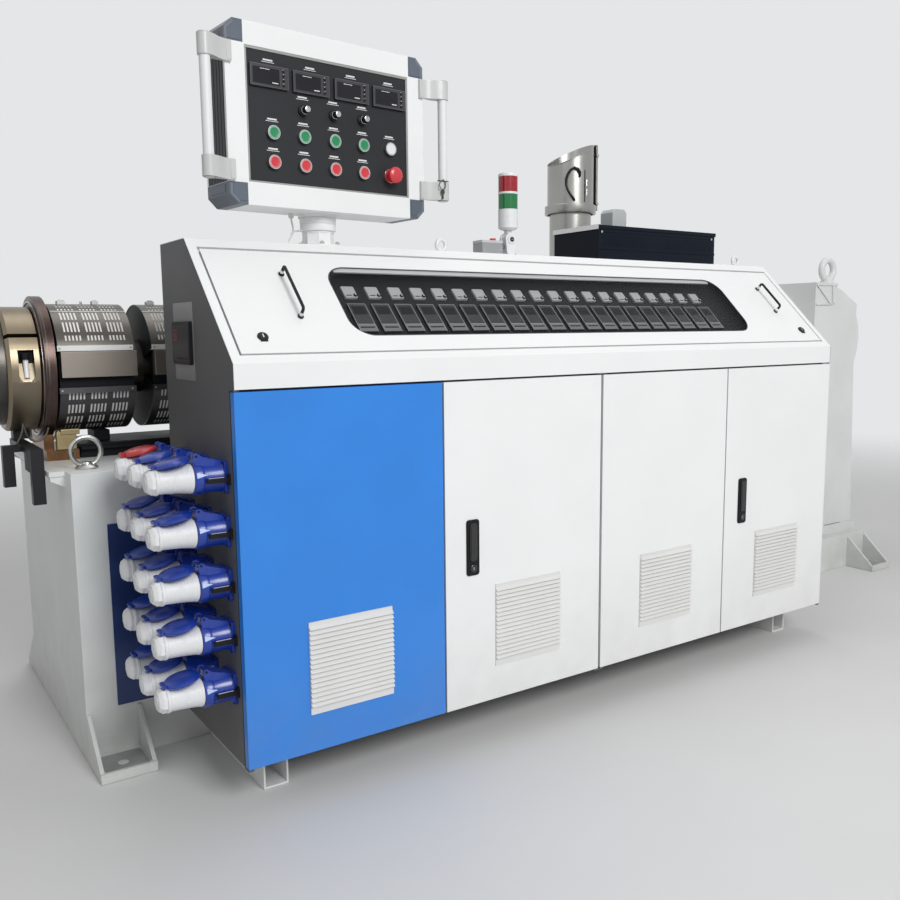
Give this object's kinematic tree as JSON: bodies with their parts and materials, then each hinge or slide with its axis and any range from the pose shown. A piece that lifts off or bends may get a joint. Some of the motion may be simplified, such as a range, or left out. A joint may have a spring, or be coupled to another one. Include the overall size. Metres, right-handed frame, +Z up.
{
  "type": "plastic extruder",
  "caption": "Single-screw plastic extruder: a sloped-console control cabinet with hinged doors and a swivelling panel, before a heated barrel, hopper and gearbox on one base.",
  "frame": {"origin": "centre of the bounding box's footprint, on the floor", "axes": "+X along the barrel from the die to the gearbox, +Y from the cabinet doors to the back of the base, +Z up"},
  "size_m": [3.343, 1.262, 1.698],
  "materials": {
    "white_paint": "semi-gloss powder coat",
    "blue_paint": "semi-gloss powder coat",
    "side_paint": "satin powder coat",
    "machine_paint": "satin enamel",
    "black_plastic": "fine texture",
    "dark_plate": "satin",
    "white_plastic": "smooth",
    "blue_plastic": "gloss",
    "red_plastic": "gloss",
    "navy_paint": "satin",
    "zinc_steel": "zinc plated",
    "barrel_steel": "dark machined steel",
    "cover_steel": "bright stainless sheet",
    "clamp_steel": "heat-tinted polished steel",
    "bronze": "dull, heat-tinted",
    "black_steel": "satin",
    "hopper_steel": "bright stainless sheet",
    "dark_blue_paint": "satin",
    "grey_plastic": "smooth",
    "corner_plastic": "fine texture",
    "window_glass": "tinted acrylic",
    "handle_metal": "satin",
    "lens_plastic": "moulded lens",
    "control_metal": "polished"
  },
  "bodies": {
    "machine": {"cabinet_skids": "white_paint", "cabinet_floor": "side_paint", "side_panels": "side_paint", "back_panel": "side_paint", "top_panel": "white_paint", "front_frame": "side_paint", "console_rim": "white_paint", "instrument_plate": "dark_plate", "temperature_controllers": "black_plastic", "current_switches": "white_plastic", "side_meter": "black_plastic", "sockets": "blue_plastic", "socket_lids": "blue_plastic", "red_lid": "red_plastic", "socket_levers": "black_plastic", "plugs": "white_plastic", "cabinet_eyes": "zinc_steel", "machine_eyes": "zinc_steel", "tower_base": "white_plastic", "control_post": "handle_metal", "base_frame": "machine_paint", "base_feet": "machine_paint", "blue_plate": "navy_paint", "barrel_support": "bronze", "barrel": "barrel_steel", "heater_covers": "cover_steel", "terminal_covers": "cover_steel", "die_clamp": "clamp_steel", "die_adapter": "barrel_steel", "clamp_bracket": "black_steel", "feed_section": "machine_paint", "hopper": "hopper_steel", "gearbox_snout": "machine_paint", "gearbox_case": "machine_paint", "vented_housing": "dark_blue_paint", "junction_box": "grey_plastic"},
    "door_1": {"door_1": "blue_paint", "vent_1": "white_plastic"},
    "door_2": {"door_2": "white_paint", "vent_2": "white_plastic", "lock_2": "black_plastic"},
    "door_3": {"door_3": "white_paint", "vent_3": "white_plastic"},
    "door_4": {"door_4": "white_paint", "vent_4": "white_plastic", "lock_4": "black_plastic"},
    "console_cover": {"console_cover": "white_paint", "console_window": "window_glass", "cover_handles": "black_steel"},
    "tower_light": {"tower_light": "white_plastic", "tower_lenses": "lens_plastic"},
    "control_box": {"box_shell": "white_paint", "box_corners": "corner_plastic", "control_face": "dark_plate", "box_handles": "handle_metal", "box_meters": "black_plastic", "panel_controls": "control_metal"}
  },
  "joints": [
    {"name": "door_1_hinge", "type": "hinge", "parent": "machine", "child": "door_1", "pos_m": [-1.3225, -0.617, 0.5], "axis": [0, 0, -1], "range_deg": [0, 110]},
    {"name": "door_2_hinge", "type": "hinge", "parent": "machine", "child": "door_2", "pos_m": [-0.33466, -0.617, 0.5], "axis": [0, 0, 1], "range_deg": [0, 85]},
    {"name": "door_3_hinge", "type": "hinge", "parent": "machine", "child": "door_3", "pos_m": [-0.31834, -0.617, 0.5], "axis": [0, 0, -1], "range_deg": [0, 85]},
    {"name": "door_4_hinge", "type": "hinge", "parent": "machine", "child": "door_4", "pos_m": [0.6695, -0.617, 0.5], "axis": [0, 0, 1], "range_deg": [0, 110]},
    {"name": "console_cover_hinge", "type": "hinge", "parent": "machine", "child": "console_cover", "pos_m": [-0.3265, -0.3768, 1.19354], "axis": [-1, 0, 0], "range_deg": [0, 55]},
    {"name": "tower_fold", "type": "hinge", "parent": "machine", "child": "tower_light", "pos_m": [-0.3655, -0.271, 1.271], "axis": [0, 1, 0], "range_deg": [0, 90]},
    {"name": "control_box_swivel", "type": "hinge", "parent": "machine", "child": "control_box", "pos_m": [-0.9605, -0.27, 1.286], "axis": [0, 0, 1], "range_deg": [-90, 90]}
  ]
}
